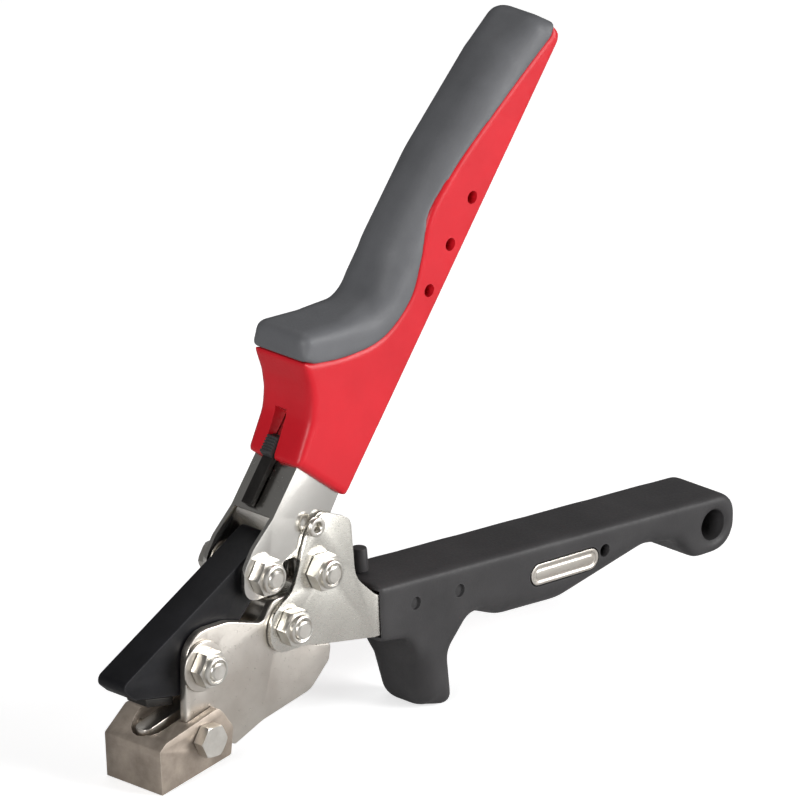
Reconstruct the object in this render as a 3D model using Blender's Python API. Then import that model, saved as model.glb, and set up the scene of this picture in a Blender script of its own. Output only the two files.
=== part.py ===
"""One-hand siding punch with a toggle linkage, standing open on its die block and finger guard.

The tool's side view lies in the XZ plane: the head points to -X and the handles to +X.
Y is the width, with the locknuts on the -Y side. Each moving group hangs from an empty
that stands on its joint axis. Side-view places are in millimetres of a drawing that
world_point turns by a few degrees, so that the tool stands on both its feet.
"""
import math

import bmesh
import bpy
from mathutils import Matrix, Vector
from mathutils.geometry import delaunay_2d_cdt

MM = 0.001

# Overall placing: distance from the die block's front edge to the middle of the tool's length.
ORIGIN_X = 124.99 * MM

# The drawing is turned about the die block's front bottom edge until the finger guard's foot is level with it.
GUARD_FOOT = (126.0, -6.0)
STAND = math.atan2(-GUARD_FOOT[1], GUARD_FOOT[0])

# Pivots in the side view, measured from the die block's front bottom edge.
JAW_PIVOT = (20.6, 38.3)
BLOCK_BOLT = (19.6, 14.3)
HANDLE_PIVOT = (58.8, 42.0)
LINK_PIVOT = (48.3, 61.8)
TOGGLE_PIVOT = (72.5, 57.3)

ANVIL_MIDDLE = (15.35, 22.0)
LOW_WALL = 1.2
ANVIL_DOWEL = (8.5, 17.9)
ANVIL_DEPTH = 4.6
DOWEL_RADIUS = 1.0

# Widths across Y, each half of the full width, from the middle of the tool outwards.
ANVIL_HALF = 3.2
POCKET_HALF = 5.9
JAW_HALF = 6.2
BUSH_HALF = 6.3
PLATE_INNER = 6.6
UPPER_WALL_INNER = 8.0
PLATE_OUTER = 9.5
LOWER_WALL_INNER = 9.8
LOWER_WALL_OUTER = 11.3
UPPER_BODY_HALF = 12.0
UPPER_GRIP_HALF = 12.4
LOWER_GRIP_HALF = 12.6
GUARD_HALF = 10.2
BLOCK_HALF = 12.7
GAP = 0.3

# Fasteners: quarter-inch bolts with 7/16 inch hexagons.
SHANK_RADIUS = 3.1
BOLT_HOLE_RADIUS = 3.5
HEX_RADIUS = 6.4
BLOCK_HEX_RADIUS = 5.8
HEX_THICKNESS = 4.0
COLLAR_RADIUS = 4.9
COLLAR_THICKNESS = 1.5
WASHER_THICKNESS = 1.2
BUSH_RADIUS = 5.4
OPEN_PIVOT_HOLE_RADIUS = 3.8
PIN_RADIUS = 1.9
PIN_HOLE_RADIUS = 2.2

# Slopes of the parts in the side view, in degrees.
BLOCK_SLOPE = 10.2
ANVIL_SLOPE = 13.7
UPPER_SLOPE = 53.4

# The upper handle's own axis starts at the web's lower edge and runs along the handle.
WEB_FOOT = (53.2, 79.6)
UPPER_AXIS = Vector((math.cos(math.radians(UPPER_SLOPE)), math.sin(math.radians(UPPER_SLOPE))))
UPPER_NORMAL = Vector((UPPER_AXIS.y, -UPPER_AXIS.x))

# The latch bar runs in a slot on the front of the upper handle, a little to the far side.
LATCH_Y = 2.0
LATCH_HALF = 2.3

FINE_ARC = math.radians(20)
TRIANGLES_INSIDE = 1


def clear_scene():
    for item in list(bpy.data.objects):
        bpy.data.objects.remove(item, do_unlink=True)


def material(name, colour, roughness, metallic):
    made = bpy.data.materials.get(name) or bpy.data.materials.new(name)
    made.use_nodes = True
    shader = made.node_tree.nodes["Principled BSDF"]
    shader.inputs["Base Color"].default_value = (*colour, 1.0)
    shader.inputs["Roughness"].default_value = roughness
    shader.inputs["Metallic"].default_value = metallic
    made.diffuse_color = (*colour, 1.0)
    return made


def nickel():
    return material("nickel_plate", (0.74, 0.71, 0.66), 0.34, 1.0)


def bright_steel():
    return material("bright_steel", (0.80, 0.79, 0.76), 0.22, 1.0)


def die_steel():
    return material("die_steel", (0.30, 0.26, 0.22), 0.45, 1.0)


def black_paint():
    return material("black_paint", (0.02, 0.02, 0.022), 0.42, 0.0)


def black_plastic():
    return material("black_plastic", (0.03, 0.03, 0.033), 0.5, 0.0)


def red_plastic():
    return material("red_plastic", (0.62, 0.03, 0.05), 0.42, 0.0)


def grey_rubber():
    return material("grey_rubber", (0.11, 0.11, 0.12), 0.7, 0.0)


def world_point(x, y, z):
    """Turns millimetres of the drawing into metres in the part's frame."""
    along = x * math.cos(STAND) - z * math.sin(STAND)
    up = x * math.sin(STAND) + z * math.cos(STAND)
    return Vector((along * MM - ORIGIN_X, y * MM, up * MM))


def pivot_empty(name, pivot, parent=None):
    """An empty on a joint axis, which its moving group hangs from."""
    empty = bpy.data.objects.new(name, None)
    empty.empty_display_size = 0.01
    bpy.context.collection.objects.link(empty)
    place = world_point(pivot[0], 0.0, pivot[1])
    if parent:
        empty.parent = parent
        place = place - parent.matrix_world.translation
    empty.location = place
    bpy.context.view_layer.update()
    return empty


def add_object(name, bm, look, parent=None):
    """Closes a bmesh built in the part's frame into one object hanging from its parent."""
    bmesh.ops.recalc_face_normals(bm, faces=bm.faces)
    offset = parent.matrix_world.translation if parent else Vector()
    bmesh.ops.translate(bm, verts=bm.verts, vec=-offset)
    mesh = bpy.data.meshes.new(name)
    bm.to_mesh(mesh)
    bm.free()
    mesh.shade_smooth()
    mesh.set_sharp_from_angle(angle=math.radians(35))
    item = bpy.data.objects.new(name, mesh)
    item.parent = parent
    bpy.context.collection.objects.link(item)
    if look:
        mesh.materials.append(look)
    return item


def rounded(corners):
    """An outline from (x, z, radius) corners, each corner replaced by its fillet arc."""
    points = []
    count = len(corners)
    for index, (x, z, radius) in enumerate(corners):
        here = Vector((x, z))
        if radius <= 0:
            points.append(here)
            continue
        back = Vector(corners[index - 1][:2]) - here
        ahead = Vector(corners[(index + 1) % count][:2]) - here
        half = back.angle(ahead) / 2
        reach = min(radius / math.tan(half), 0.499 * back.length, 0.499 * ahead.length)
        radius = reach * math.tan(half)
        middle = here + (back.normalized() + ahead.normalized()).normalized() * (radius / math.sin(half))
        start = here + back.normalized() * reach - middle
        turn = start.angle_signed(here + ahead.normalized() * reach - middle)
        steps = max(1, math.ceil(abs(turn) / FINE_ARC))
        for step in range(steps + 1):
            spoke = start.copy()
            spoke.rotate(Matrix.Rotation(-turn * step / steps, 2))
            points.append(middle + spoke)
    return points


def circle(centre, radius, sides=20):
    turn = 2 * math.pi / sides
    return [Vector((centre[0] + radius * math.cos(turn * step), centre[1] + radius * math.sin(turn * step)))
            for step in range(sides)]


def along_handle(distance, depth):
    """A point on the upper handle: distance up its axis, depth from the web's outer face inwards."""
    return Vector(WEB_FOOT) + UPPER_AXIS * distance + UPPER_NORMAL * depth


def add_loop(bm, points, y):
    verts = [bm.verts.new(world_point(point[0], y, point[1])) for point in points]
    edges = [bm.edges.new((verts[index - 1], verts[index])) for index in range(len(verts))]
    return verts, edges


def encloses(loop, place):
    """Whether a closed loop goes round a point, by counting the edges to its right."""
    crossings = 0
    for start, end in zip(loop, (*loop[1:], loop[0])):
        if (start[1] > place.y) == (end[1] > place.y):
            continue
        along = (place.y - start[1]) / (end[1] - start[1])
        crossings += start[0] + along * (end[0] - start[0]) > place.x
    return crossings % 2 == 1


def add_prism(bm, outline, y_near, y_far, holes=()):
    """A flat plate: the outline, less its holes, from one Y to the other."""
    points = []
    edges = []
    for loop in (outline, *holes):
        first = len(points)
        points += [Vector(place) for place in loop]
        edges += [(first + index, first + (index + 1) % len(loop)) for index in range(len(loop))]
    places, _, triangles, *_ = delaunay_2d_cdt(points, edges, [], TRIANGLES_INSIDE, 1e-6)
    verts = [bm.verts.new(world_point(place.x, y_near, place.y)) for place in places]
    faces = []
    for triangle in triangles:
        middle = sum((places[index] for index in triangle), Vector((0.0, 0.0))) / 3
        if encloses(outline, middle) and not any(encloses(hole, middle) for hole in holes):
            faces.append(bm.faces.new([verts[index] for index in triangle]))
    grown = bmesh.ops.extrude_face_region(bm, geom=faces)
    moved = [item for item in grown["geom"] if isinstance(item, bmesh.types.BMVert)]
    bmesh.ops.translate(bm, verts=moved, vec=(0, (y_far - y_near) * MM, 0))


def prism(name, outline, y_near, y_far, look, parent=None, holes=()):
    bm = bmesh.new()
    add_prism(bm, outline, y_near, y_far, holes)
    return add_object(name, bm, look, parent)


def add_turned(bm, pivot, sections, bore=0.0):
    """A stack of round or six-sided sections (sides, radius, y_start, y_end) along Y."""
    rings = []
    for sides, radius, y_start, y_end in sections:
        points = circle(pivot, radius, sides)
        first = add_loop(bm, points, y_start)
        last = add_loop(bm, points, y_end)
        for index in range(sides):
            bm.faces.new((first[0][index - 1], first[0][index], last[0][index], last[0][index - 1]))
        rings.append((first, last))
    for below, above in zip(rings, rings[1:]):
        bmesh.ops.triangle_fill(bm, edges=below[1][1] + above[0][1], use_beauty=True)
    ends = (rings[0][0], rings[-1][1])
    if not bore:
        for verts, _ in ends:
            bm.faces.new(verts)
        return
    points = circle(pivot, bore)
    inner = [add_loop(bm, points, sections[0][2]), add_loop(bm, points, sections[-1][3])]
    for index in range(len(points)):
        bm.faces.new((inner[0][0][index - 1], inner[0][0][index], inner[1][0][index], inner[1][0][index - 1]))
    for end, hole in zip(ends, inner):
        bmesh.ops.triangle_fill(bm, edges=end[1] + hole[1], use_beauty=True)


def turned(name, pivot, sections, look, parent=None, bore=0.0):
    bm = bmesh.new()
    add_turned(bm, pivot, sections, bore)
    return add_object(name, bm, look, parent)


def washer_pair(label, pivot, radius, seat, look, parent=None):
    """Two washers whose inner faces lie at +-seat."""
    for side, name in ((-1, "near"), (1, "far")):
        low, high = sorted((side * seat, side * (seat + WASHER_THICKNESS)))
        turned(f"washer_{label}_{name}", pivot, [(24, radius, low, high)], look, parent, BOLT_HOLE_RADIUS)


def cutter(name, bm, parent=None):
    item = add_object(name, bm, None, parent)
    item.hide_render = True
    item.display_type = "WIRE"
    return item


def cut(target, tool):
    boolean = target.modifiers.new("cut_" + tool.name, "BOOLEAN")
    boolean.operation = "DIFFERENCE"
    boolean.solver = "EXACT"
    boolean.object = tool


def cut_prism(target, outline, y_near, y_far, parent=None):
    bm = bmesh.new()
    add_prism(bm, outline, y_near, y_far)
    cut(target, cutter(target.name + "_cutter", bm, parent))


def soften(target, width, segments):
    """Rounds the outer edges of a moulded piece."""
    bevel = target.modifiers.new("soft_edges", "BEVEL")
    bevel.width = width * MM
    bevel.segments = segments
    bevel.limit_method = "ANGLE"
    bevel.angle_limit = math.radians(50)


def locknut_and_bolt(label, pivot, seat, look, parent=None):
    """A bolt with its head on the +Y side and a collared locknut on the -Y side, on faces at +-seat."""
    seat = seat + GAP
    nut_top = seat + HEX_THICKNESS + 0.8
    tip = nut_top + COLLAR_THICKNESS + 0.7
    turned(f"bolt_{label}", pivot, [(20, SHANK_RADIUS, -tip, seat), (6, HEX_RADIUS, seat, seat + HEX_THICKNESS)],
           look, parent)
    turned(f"locknut_{label}", pivot, [(20, COLLAR_RADIUS, -nut_top - COLLAR_THICKNESS, -nut_top),
                                       (6, HEX_RADIUS, -nut_top, -seat)], look, parent, BOLT_HOLE_RADIUS)


def build_head():
    """Two side plates, bolted to the die block at the front and carrying both fixed pivots."""
    plate = rounded([
        (14.0, 7.6, 2.0), (14.0, 50.3, 10.0), (33.0, 49.8, 8.0), (48.5, 45.0, 3.0), (53.0, 51.5, 4.0),
        (66.5, 51.5, 7.0), (70.0, 36.0, 2.0), (72.3, 31.0, 0.5), (79.4, 29.6, 1.5), (78.6, 24.0, 2.5), (70.3, 16.0, 6.0), (48.4, 11.4, 10.0),
        (36.0, 6.6, 2.0), (33.2, 8.4, 0.0), (26.0, 8.1, 1.0),
    ])
    holes = [circle(pivot, BOLT_HOLE_RADIUS) for pivot in (JAW_PIVOT, BLOCK_BOLT, HANDLE_PIVOT)]
    prism("head_plate_near", plate, -PLATE_OUTER, -PLATE_INNER, nickel(), holes=holes)
    prism("head_plate_far", plate, PLATE_INNER, PLATE_OUTER, nickel(), holes=holes)


def build_die_block():
    """The block: sloped base, a slot for each plate, a pocket for the anvil and a near wall below its top."""
    slope = math.tan(math.radians(BLOCK_SLOPE))
    profile = rounded([
        (0.0, 0.0, 0.0), (-1.0, 15.2, 0.8), (8.5, 22.9, 2.0), (25.5, 23.6, 6.0), (32.0, 15.0, 2.0),
        (31.0, 31.0 * slope, 0.8),
    ])
    block = prism("die_block", profile, -BLOCK_HALF, BLOCK_HALF, die_steel(),
                  holes=[circle(BLOCK_BOLT, BOLT_HOLE_RADIUS)])
    slot = rounded([(13.6, 6.2, 0.0), (13.6, 30.0, 0.0), (40.0, 30.0, 0.0), (40.0, 8.2, 0.0)])
    for side in (-1, 1):
        near, far = sorted((side * (PLATE_INNER - GAP), side * (PLATE_OUTER + GAP)))
        cut_prism(block, slot, near, far)
    rise = math.tan(math.radians(ANVIL_SLOPE))
    above_wall = [(-5.0, ANVIL_MIDDLE[1] - LOW_WALL - (ANVIL_MIDDLE[0] + 5.0) * rise),
                  (38.0, ANVIL_MIDDLE[1] - LOW_WALL + (38.0 - ANVIL_MIDDLE[0]) * rise), (38.0, 40.0), (-5.0, 40.0)]
    cut_prism(block, above_wall, -BLOCK_HALF - 1.0, -ANVIL_HALF - GAP)
    bm = bmesh.new()
    add_sloped_obround(bm, 34.0, 2 * POCKET_HALF, -ANVIL_DEPTH - GAP, 12.0, shift=2.0)
    cut(block, cutter("die_pocket_cutter", bm))
    bm = bmesh.new()
    add_turned(bm, ANVIL_DOWEL, [(12, DOWEL_RADIUS + GAP, 0.0, BLOCK_HALF + 5.0)])
    cut(block, cutter("dowel_hole_cutter", bm))


def add_sloped_obround(bm, length, width, bottom, top, shift=0.0):
    """A round-ended bar lying on the anvil's slope, from bottom to top across the slope."""
    half = width / 2
    steps = 8
    run = length / 2 - half
    middle = Vector((ANVIL_MIDDLE[0] + shift, ANVIL_MIDDLE[1]))
    plan = []
    for end, start_angle in ((1, -90), (-1, 90)):
        for step in range(steps + 1):
            angle = math.radians(start_angle + 180 * step / steps)
            plan.append((end * run + half * math.cos(angle), half * math.sin(angle)))
    lift = Matrix.Rotation(-math.radians(ANVIL_SLOPE) - STAND, 4, "Y")
    base = world_point(middle.x, 0.0, middle.y)
    verts = [bm.verts.new(base + lift @ Vector((x * MM, y * MM, bottom * MM))) for x, y in plan]
    face = bm.faces.new(verts)
    grown = bmesh.ops.extrude_face_region(bm, geom=[face])
    moved = [item for item in grown["geom"] if isinstance(item, bmesh.types.BMVert)]
    bmesh.ops.translate(bm, verts=moved, vec=lift @ Vector((0, 0, (top - bottom) * MM)))


def build_anvil():
    """The round-nosed anvil bar in the block's pocket, held by a cross dowel from the far side."""
    bm = bmesh.new()
    add_sloped_obround(bm, 28.0, 2 * ANVIL_HALF, -ANVIL_DEPTH, 0.0)
    anvil = add_object("anvil_bar", bm, nickel())
    bm = bmesh.new()
    add_turned(bm, ANVIL_DOWEL, [(12, DOWEL_RADIUS + GAP, -1.0, BLOCK_HALF)])
    cut(anvil, cutter("anvil_dowel_cutter", bm))
    turned("anvil_dowel", ANVIL_DOWEL, [(12, DOWEL_RADIUS, -0.6, BLOCK_HALF)], bright_steel())


def build_head_fasteners():
    locknut_and_bolt("jaw_pivot", JAW_PIVOT, PLATE_OUTER + GAP + WASHER_THICKNESS, bright_steel())
    washer_pair("jaw_pivot", JAW_PIVOT, 8.6, PLATE_OUTER + GAP, nickel())
    locknut_and_bolt("handle_pivot", HANDLE_PIVOT, LOWER_WALL_OUTER, bright_steel())
    for label, pivot in (("jaw_pivot", JAW_PIVOT), ("handle_pivot", HANDLE_PIVOT)):
        turned(f"bush_{label}", pivot, [(20, BUSH_RADIUS, -BUSH_HALF, BUSH_HALF)], nickel(), bore=BOLT_HOLE_RADIUS)
    seat = BLOCK_HALF + GAP
    nut_top = seat + HEX_THICKNESS
    tip = nut_top + 1.1
    turned("bolt_die_block", BLOCK_BOLT, [(6, BLOCK_HEX_RADIUS, -nut_top, -seat),
                                          (20, SHANK_RADIUS, -seat, tip + 0.5)], bright_steel())
    turned("locknut_die_block", BLOCK_BOLT, [(6, BLOCK_HEX_RADIUS, seat, nut_top),
                                             (20, COLLAR_RADIUS, nut_top, tip)], bright_steel(), bore=BOLT_HOLE_RADIUS)


def build_jaw(pivot):
    """The black upper jaw: a wedge nose over the block and a tail that the link bolt drives."""
    profile = rounded([
        (-12.2, 38.0, 2.5), (-6.0, 32.7, 1.5), (12.0, 29.2, 8.0), (27.0, 27.5, 9.0), (38.0, 44.0, 12.0),
        (48.0, 53.6, 4.0), (56.6, 54.0, 7.5), (58.0, 75.3, 3.0),
    ])
    jaw = prism("upper_jaw", profile, -JAW_HALF, JAW_HALF, black_paint(), pivot,
                holes=[circle(JAW_PIVOT, BUSH_RADIUS + GAP), circle(LINK_PIVOT, OPEN_PIVOT_HOLE_RADIUS)])
    screw_hole = jaw_screw_bmesh(1.6, 0.0, 10.0)
    cut(jaw, cutter("jaw_screw_cutter", screw_hole, pivot))


JAW_UNDERSIDE_SLOPE = -11.0
INSERT_FRONT = (-3.6, 32.0)


def insert_point(distance, below):
    """A point under the jaw: distance along its underside, below that face."""
    angle = math.radians(JAW_UNDERSIDE_SLOPE)
    run = Vector((math.cos(angle), math.sin(angle)))
    down = Vector((math.sin(angle), -math.cos(angle)))
    return Vector(INSERT_FRONT) + run * distance + down * below


def jaw_screw_bmesh(radius, head_depth, length):
    """The insert's screw, standing across the jaw's underside."""
    bm = bmesh.new()
    turn = Matrix.Rotation(-math.radians(JAW_UNDERSIDE_SLOPE) - STAND, 4, "Y")
    base = insert_point(10.5, head_depth)
    place = Matrix.Translation(world_point(base.x, 0.0, base.y)) @ turn
    bmesh.ops.create_cone(bm, cap_ends=True, segments=12, radius1=radius * MM, radius2=radius * MM,
                          depth=length * MM, matrix=place @ Matrix.Translation((0, 0, length / 2 * MM)))
    return bm


def build_jaw_insert(pivot):
    """The hard insert under the jaw's nose and the screw that holds it."""
    below = 0.45
    front, rear = 4.2, 17.0
    profile = [insert_point(front, below), insert_point(rear, below), insert_point(rear, 3.2),
               insert_point(front + 1.5, 3.2)]
    insert = prism("jaw_insert", profile, -4.7, 4.7, die_steel(), pivot)
    cut(insert, cutter("insert_screw_cutter", jaw_screw_bmesh(1.6, 5.0, 10.0), pivot))
    add_object("jaw_insert_screw", jaw_screw_bmesh(1.25, 2.9, 9.0), bright_steel(), pivot)


def build_lower_channel(pivot):
    """The lower handle's steel channel: two ears for the pivots and a web along its bottom."""
    profile = rounded([
        (50.3, 33.3, 8.5), (66.5, 33.0, 5.0), (73.0, 31.4, 0.0), (97.5, 27.0, 0.0), (165.0, 24.6, 2.0),
        (165.0, 36.0, 2.0), (98.5, 41.0, 6.0), (88.6, 50.0, 10.0), (86.6, 71.5, 5.0), (73.5, 77.0, 4.0),
        (66.8, 70.5, 5.0), (60.5, 53.0, 8.0), (50.3, 47.0, 8.5),
    ])
    holes = [circle(pivot_point, BOLT_HOLE_RADIUS) for pivot_point in (HANDLE_PIVOT, TOGGLE_PIVOT)]
    holes += [circle(place, PIN_HOLE_RADIUS, 12) for place in GRIP_PINS]
    channel = prism("lower_channel", profile, -LOWER_WALL_OUTER, LOWER_WALL_OUTER, nickel(), pivot, holes)
    inside = rounded([
        (40.0, 20.0, 0.0), (73.0, 20.0, 0.0), (73.0, 32.9, 0.0), (97.5, 28.5, 0.0), (175.0, 25.7, 0.0),
        (175.0, 90.0, 0.0), (40.0, 90.0, 0.0),
    ])
    cut_prism(channel, inside, -LOWER_WALL_INNER, LOWER_WALL_INNER, pivot)


GRIP_PINS = ((115.0, 34.2), (135.1, 33.0))
HANG_HOLE = (253.5, 22.9)


def build_lower_grip(pivot):
    """The black handle body with its finger guard, belly and hanging eye."""
    profile = rounded([
        (98.6, 44.1, 1.5), (99.8, 24.4, 1.0), (113.5, 22.0, 7.0), (120.5, -5.74, 6.0), (134.4, -6.4, 4.0),
        (131.2, 13.0, 6.0), (143.0, 23.0, 7.0), (157.0, 16.8, 12.0), (184.0, 15.0, 20.0), (222.0, 23.6, 16.0),
        (236.0, 22.0, 10.0), (244.5, 13.2, 8.0), (263.4, 13.2, 9.7), (263.4, 32.3, 9.5), (250.0, 33.1, 4.0),
    ])
    grip = prism("lower_grip", profile, -LOWER_GRIP_HALF, LOWER_GRIP_HALF, black_plastic(), pivot)
    soften(grip, 2.0, 2)
    for side in (-1, 1):
        near, far = sorted((side * GUARD_HALF, side * (LOWER_GRIP_HALF + 3.0)))
        cut_prism(grip, [(105.0, -12.0), (140.0, -12.0), (140.0, 7.0), (105.0, 7.0)], near, far, pivot)
    cavity = rounded([(90.0, 22.9, 0.0), (90.0, 42.4, 0.0), (98.0, 42.4, 0.0), (168.0, 37.2, 0.0),
                      (168.0, 23.3, 0.0), (100.0, 25.9, 0.0)])
    cut_prism(grip, cavity, -LOWER_WALL_OUTER - GAP, LOWER_WALL_OUTER + GAP, pivot)
    for place in (*GRIP_PINS, (202.1, 28.4)):
        bm = bmesh.new()
        add_turned(bm, place, [(12, PIN_HOLE_RADIUS, -20.0, 20.0)])
        cut(grip, cutter("grip_hole_cutter", bm, pivot))
    bm = bmesh.new()
    add_turned(bm, HANG_HOLE, [(24, 5.3, -20.0, 20.0)])
    cut(grip, cutter("hang_hole_cutter", bm, pivot))
    for side in (-1, 1):
        near, far = sorted((side * (LOWER_GRIP_HALF - 1.2), side * (LOWER_GRIP_HALF + 3.0)))
        cut_prism(grip, side_plate_outline(0.35), near, far, pivot)


def side_plate_outline(grow):
    """An obround on the grip's side, along the handle's slope."""
    half = 3.6 + grow
    start, end = Vector((171.6, 28.4)), Vector((195.3, 27.2))
    run = (end - start).normalized()
    rise = Vector((-run.y, run.x))
    points = []
    for centre, first in ((start, 90), (end, -90)):
        for step in range(9):
            angle = math.radians(first + 180 * step / 8)
            points.append(centre + run * half * math.cos(angle) + rise * half * math.sin(angle))
    return points


def build_grip_details(pivot):
    """Blank side plates, the spring pins through grip and channel, and the closing stop."""
    for side, name in ((-1, "near"), (1, "far")):
        low, high = sorted((side * (LOWER_GRIP_HALF - 0.9), side * (LOWER_GRIP_HALF + 0.2)))
        prism(f"side_plate_{name}", side_plate_outline(0.0), low, high, nickel(), pivot)
    pin_end = LOWER_GRIP_HALF - 0.4
    for place, name in zip(GRIP_PINS, ("front", "rear")):
        turned(f"grip_pin_{name}", place, [(12, PIN_RADIUS, -pin_end, pin_end)], die_steel(), pivot, 1.2)
    bm = bmesh.new()
    stand_up = Matrix.Rotation(-STAND, 4, "Y")
    bmesh.ops.create_cone(bm, cap_ends=True, segments=16, radius1=3.2 * MM, radius2=2.6 * MM, depth=8.0 * MM,
                          matrix=Matrix.Translation(world_point(104.5, 3.0, 48.3)) @ stand_up)
    add_object("closing_stop", bm, black_plastic(), pivot)


def build_lower_pivot_parts(pivot):
    locknut_and_bolt("toggle_pivot", TOGGLE_PIVOT, LOWER_WALL_OUTER, bright_steel(), pivot)
    half = UPPER_WALL_INNER - GAP
    turned("bush_toggle_pivot", TOGGLE_PIVOT, [(20, BUSH_RADIUS - 0.6, -half, half)], nickel(), pivot,
           BOLT_HOLE_RADIUS)
    anchor = (69.6, 73.2)
    turned("spring_anchor", anchor, [(18, 3.3, -LOWER_WALL_OUTER - 2.3, -LOWER_WALL_OUTER - GAP)],
           bright_steel(), pivot, 1.8)


def build_upper_channel(pivot):
    """The upper handle's steel channel: web to the front, walls down to the link and toggle pivots."""
    top = 52.0
    corners = [(*along_handle(0.0, 0.0), 1.0), (44.5, 71.5, 5.0), (40.3, 65.0, 6.0), (40.3, 53.8, 8.0),
               (56.3, 53.8, 7.5), (57.5, 64.0, 2.0), (64.0, 64.0, 2.0), (64.5, 49.3, 7.5), (80.5, 49.3, 7.9),
               (80.9, 74.0, 8.0), (*along_handle(8.0, 24.0), 2.0), (*along_handle(top, 21.0), 2.0),
               (*along_handle(top, 0.0), 0.0)]
    holes = [circle(place, BOLT_HOLE_RADIUS) for place in (LINK_PIVOT, TOGGLE_PIVOT)]
    channel = prism("upper_channel", rounded(corners), -PLATE_OUTER, PLATE_OUTER, bright_steel(), pivot, holes)
    wall = PLATE_OUTER - UPPER_WALL_INNER
    inside = [along_handle(top + 20.0, wall), along_handle(-60.0, wall), along_handle(-60.0, 90.0),
              along_handle(top + 20.0, 90.0)]
    below_web = [along_handle(0.0, -40.0), along_handle(0.0, 30.0), along_handle(-80.0, 30.0),
                 along_handle(-80.0, -40.0)]
    cut_prism(channel, inside, -UPPER_WALL_INNER, UPPER_WALL_INNER, pivot)
    cut_prism(channel, below_web, -UPPER_WALL_INNER, UPPER_WALL_INNER, pivot)
    window = [along_handle(3.0, -5.0), along_handle(16.0, -5.0), along_handle(16.0, 4.0), along_handle(3.0, 4.0)]
    cut_prism(channel, window, LATCH_Y - LATCH_HALF - GAP, LATCH_Y + LATCH_HALF + GAP, pivot)


def grip_split(offset):
    """The line between the red body and the grey grip on the side of the upper handle."""
    line = [(60.0, 130.2), (83.0, 127.6), (100.5, 129.4), (113.0, 139.0), (118.0, 151.0), (122.0, 164.5),
            (130.0, 174.5), (140.0, 184.0), (163.0, 202.3), (179.5, 214.4), (187.0, 219.4)]
    shifted = []
    for index, place in enumerate(line):
        before = Vector(line[max(index - 1, 0)])
        after = Vector(line[min(index + 1, len(line) - 1)])
        run = (after - before).normalized()
        shifted.append(Vector(place) + Vector((-run.y, run.x)) * offset)
    return shifted


def build_upper_body(pivot):
    """The red body: straight inner edge, necked front below the grip and a slot for the latch."""
    profile = rounded([
        (62.2, 95.6, 1.0), (84.2, 79.2, 1.5), (182.6, 212.0, 4.0), (179.0, 216.2, 0.0),
    ])
    split = [point for point in grip_split(-GAP / 2) if 62.0 < point.x < 178.0]
    body_outline = profile[:-1] + list(reversed(split)) + [Vector((67.0, 129.4)), Vector((69.8, 121.5)),
                                                           Vector((70.6, 115.0)), Vector((69.4, 108.5))]
    body = prism("upper_body", body_outline, -UPPER_BODY_HALF, UPPER_BODY_HALF, red_plastic(), pivot)
    soften(body, 1.6, 2)
    cavity = [along_handle(-20.0, -GAP), along_handle(52.6, -GAP), along_handle(52.6, 21.4),
              along_handle(8.0, 24.5), along_handle(-20.0, 24.5)]
    cut_prism(body, cavity, -PLATE_OUTER - GAP, PLATE_OUTER + GAP, pivot)
    slot = [along_handle(-10.0, -30.0), along_handle(34.0, -30.0), along_handle(34.0, 3.0),
            along_handle(-10.0, 3.0)]
    cut_prism(body, slot, LATCH_Y - LATCH_HALF - GAP, LATCH_Y + LATCH_HALF + GAP, pivot)
    for place in ((141.2, 167.1), (131.2, 153.6), (121.6, 140.3)):
        bm = bmesh.new()
        add_turned(bm, place, [(12, PIN_HOLE_RADIUS, -20.0, 20.0)])
        cut(body, cutter("body_hole_cutter", bm, pivot))


def build_upper_grip(pivot):
    """The grey grip over the outer side of the body, flaring to a thumb guard at its foot."""
    outer = rounded([
        (181.0, 216.0, 1.0), (173.5, 221.0, 6.0), (158.0, 212.0, 12.0), (129.0, 183.5, 25.0),
        (108.5, 157.0, 25.0), (101.0, 141.0, 10.0), (84.0, 138.6, 8.0), (66.0, 139.6, 4.0), (66.5, 130.4, 2.0),
    ])
    split = [point for point in grip_split(GAP / 2) if 70.0 < point.x < 179.0]
    grip = prism("upper_grip", outer + split, -UPPER_GRIP_HALF, UPPER_GRIP_HALF, grey_rubber(), pivot)
    soften(grip, 3.5, 3)


def build_link_parts(pivot):
    locknut_and_bolt("link_pivot", LINK_PIVOT, PLATE_OUTER, bright_steel(), pivot)
    washer_pair("link_pivot", LINK_PIVOT, 6.4, JAW_HALF + GAP, nickel(), pivot)


def build_return_spring(pivot):
    """A torsion spring round the toggle bush, its legs pushing the two handles apart."""
    wire = 0.75
    coil_radius = 6.4
    turns = 4.0
    start = math.radians(75)
    sweep = -math.radians(360 * turns + 130)
    steps = 54
    half_width = 4.6
    points = [(*along_handle(9.0, 3.0), -half_width)]
    for step in range(steps + 1):
        angle = start + sweep * step / steps
        points.append((TOGGLE_PIVOT[0] + coil_radius * math.cos(angle),
                       TOGGLE_PIVOT[1] + coil_radius * math.sin(angle),
                       -half_width + 2 * half_width * step / steps))
    points.append((87.5, 32.4, half_width))
    curve = bpy.data.curves.new("return_spring", "CURVE")
    curve.dimensions = "3D"
    curve.bevel_depth = wire * MM
    curve.bevel_resolution = 1
    curve.use_fill_caps = True
    spline = curve.splines.new("POLY")
    spline.points.add(len(points) - 1)
    offset = pivot.matrix_world.translation
    for place, (x, z, y) in zip(spline.points, points):
        place.co = (*(world_point(x, y, z) - offset), 1.0)
    curve.materials.append(bright_steel())
    item = bpy.data.objects.new("return_spring", curve)
    item.parent = pivot
    bpy.context.collection.objects.link(item)


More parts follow.
